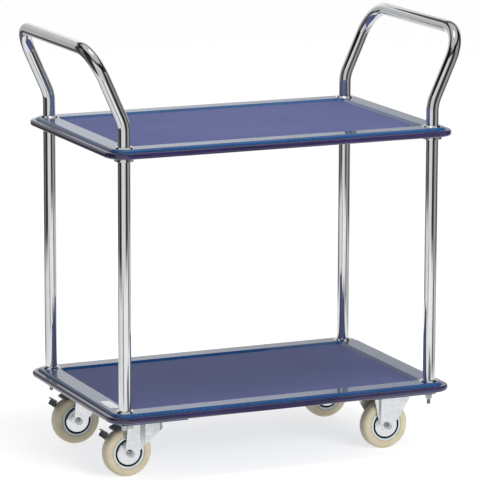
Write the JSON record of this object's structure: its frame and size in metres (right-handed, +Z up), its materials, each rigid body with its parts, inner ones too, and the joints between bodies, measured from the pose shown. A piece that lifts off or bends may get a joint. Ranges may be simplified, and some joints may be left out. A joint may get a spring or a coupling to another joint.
{
  "type": "platform trolley",
  "caption": "Two-deck platform trolley with chromed tube posts and a raised push handle at each end, matted steel decks with bumper strips, braked swivel casters and fixed casters.",
  "frame": {"origin": "on the floor under the middle of the decks, at the centre of the wheels' contact plane", "axes": "+Z up, +X along the length towards the fixed casters, +Y across to the back long side"},
  "size_m": [0.8264, 0.49, 0.8817],
  "materials": {
    "deck_blue": "glossy blue paint on pressed steel",
    "rail_blue": "glossy blue paint on pressed steel",
    "mat_violet": "soft violet-blue mat with a fine diamond grain",
    "bumper_dark": "glossy dark navy strip",
    "chrome": "bright chrome plate",
    "zinc_pressing": "bright zinc plate on pressed sheet",
    "zinc_fastener": "zinc-plated fasteners",
    "tyre_tan": "tan non-marking rubber",
    "rim_grey": "light grey moulded plastic",
    "brake_black": "dark coated pressing",
    "label_white": "plain white film"
  },
  "bodies": {
    "chassis": {"blank_label": "label_white", "caster_bolts": "zinc_fastener", "caster_rail_left": "rail_blue", "caster_rail_right": "rail_blue", "deck_collars": "chrome", "fixed_axle_bolts": "zinc_fastener", "fixed_axle_nuts": "zinc_fastener", "fixed_fork_back": "zinc_pressing", "fixed_fork_front": "zinc_pressing", "foot_nuts": "zinc_fastener", "foot_spacers": "zinc_fastener", "foot_studs": "zinc_fastener", "foot_washers": "zinc_fastener", "handle_left": "chrome", "handle_right": "chrome", "joint_studs": "zinc_fastener", "lower_bumper": "bumper_dark", "lower_deck": "deck_blue", "lower_mat": "mat_violet", "post_back_left": "chrome", "post_back_right": "chrome", "post_front_left": "chrome", "post_front_right": "chrome", "swivel_plate_back": "zinc_pressing", "swivel_plate_front": "zinc_pressing", "thread_guards_back_right": "zinc_pressing", "thread_guards_front_right": "zinc_pressing", "tube_plugs": "zinc_fastener", "upper_bumper": "bumper_dark", "upper_deck": "deck_blue", "upper_mat": "mat_violet", "weld_nuts": "zinc_fastener"},
    "swivel_front": {"brake_pin_front": "zinc_fastener", "king_pin_front": "zinc_fastener", "race_balls_front": "zinc_fastener", "swivel_axle_bolt_front": "zinc_fastener", "swivel_axle_nut_front": "zinc_fastener", "swivel_fork_front": "zinc_pressing", "thread_guards_front_left": "zinc_pressing"},
    "brake_front": {"brake_lever_front": "brake_black"},
    "swivel_back": {"brake_pin_back": "zinc_fastener", "king_pin_back": "zinc_fastener", "race_balls_back": "zinc_fastener", "swivel_axle_bolt_back": "zinc_fastener", "swivel_axle_nut_back": "zinc_fastener", "swivel_fork_back": "zinc_pressing", "thread_guards_back_left": "zinc_pressing"},
    "brake_back": {"brake_lever_back": "brake_black"},
    "wheel_front_left": {"bearing_front_left": "zinc_fastener", "rim_front_left": "rim_grey", "tyre_front_left": "tyre_tan"},
    "wheel_front_right": {"bearing_front_right": "zinc_fastener", "rim_front_right": "rim_grey", "tyre_front_right": "tyre_tan"},
    "wheel_back_left": {"bearing_back_left": "zinc_fastener", "rim_back_left": "rim_grey", "tyre_back_left": "tyre_tan"},
    "wheel_back_right": {"bearing_back_right": "zinc_fastener", "rim_back_right": "rim_grey", "tyre_back_right": "tyre_tan"}
  },
  "joints": [
    {"name": "swivel_front_turn", "type": "hinge", "parent": "chassis", "child": "swivel_front", "pos_m": [-0.269, -0.1425, 0.112], "axis": [0, 0, 1], "continuous": true},
    {"name": "wheel_front_left_spin", "type": "hinge", "parent": "swivel_front", "child": "wheel_front_left", "pos_m": [-0.3074, -0.1425, 0.05], "axis": [0, 1, 0], "continuous": true},
    {"name": "brake_front_press", "type": "hinge", "parent": "swivel_front", "child": "brake_front", "pos_m": [-0.305, -0.1425, 0.105], "axis": [0, -1, 0], "range_deg": [0, 8]},
    {"name": "wheel_front_right_spin", "type": "hinge", "parent": "chassis", "child": "wheel_front_right", "pos_m": [0.2635, -0.1425, 0.05], "axis": [0, 1, 0], "continuous": true},
    {"name": "swivel_back_turn", "type": "hinge", "parent": "chassis", "child": "swivel_back", "pos_m": [-0.269, 0.1425, 0.112], "axis": [0, 0, 1], "continuous": true},
    {"name": "wheel_back_left_spin", "type": "hinge", "parent": "swivel_back", "child": "wheel_back_left", "pos_m": [-0.3074, 0.1425, 0.05], "axis": [0, 1, 0], "continuous": true},
    {"name": "brake_back_press", "type": "hinge", "parent": "swivel_back", "child": "brake_back", "pos_m": [-0.305, 0.1425, 0.105], "axis": [0, -1, 0], "range_deg": [0, 8]},
    {"name": "wheel_back_right_spin", "type": "hinge", "parent": "chassis", "child": "wheel_back_right", "pos_m": [0.2635, 0.1425, 0.05], "axis": [0, 1, 0], "continuous": true}
  ]
}
